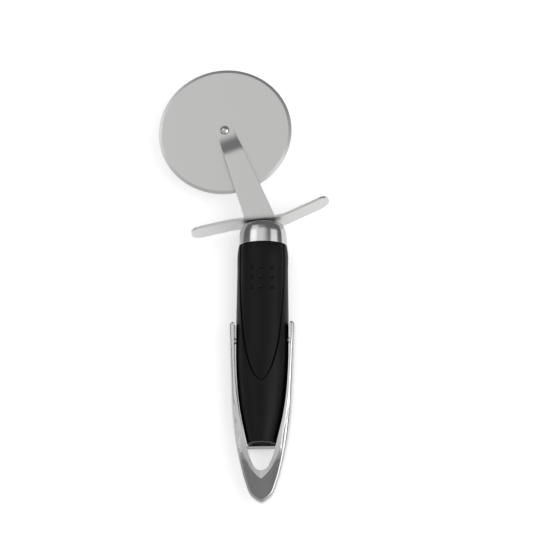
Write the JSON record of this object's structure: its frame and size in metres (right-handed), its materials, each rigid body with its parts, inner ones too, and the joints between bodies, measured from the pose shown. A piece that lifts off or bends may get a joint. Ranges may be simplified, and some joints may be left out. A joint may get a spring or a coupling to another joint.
{
  "type": "pizza cutter",
  "caption": "Hand-held pizza cutter with a round cutting wheel on a leaning arm, finger guard wings, black grip and chromed hanging hoop.",
  "frame": {"origin": "on the hang hole's axis, on the surface that the cutter lies on with its back down", "axes": "+X to the right, +Y along the handle towards the wheel, +Z out of the front, away from the surface"},
  "size_m": [0.0831, 0.218, 0.0176],
  "materials": {
    "wheel_steel": "fine brushed",
    "guard_steel": "satin brushed",
    "fastener_steel": "bright",
    "ferrule_chrome": "satin polished",
    "hoop_chrome": "polished",
    "grip_rubber": "satin",
    "panel_rubber": "satin",
    "core_plastic": "matte",
    "insert_brass": "plain"
  },
  "bodies": {
    "handle": {"wheel_bush": "fastener_steel", "front_washer": "fastener_steel", "rear_washer": "fastener_steel", "axle_rivet": "fastener_steel", "arm_and_guard": "guard_steel", "guard_screw": "fastener_steel", "lock_washer": "fastener_steel", "ferrule": "ferrule_chrome", "handle_core": "core_plastic", "core_insert": "insert_brass", "grip_sleeve": "grip_rubber", "front_panel": "panel_rubber", "back_panel": "panel_rubber", "end_plug": "core_plastic", "hanging_hoop": "hoop_chrome", "side_pins": "fastener_steel"},
    "wheel": {"cutting_wheel": "wheel_steel"}
  },
  "joints": [
    {"name": "wheel_spin", "type": "hinge", "parent": "handle", "child": "wheel", "pos_m": [-0.0187, 0.1647, 0.0105], "axis": [0, 0, 1], "continuous": true}
  ]
}
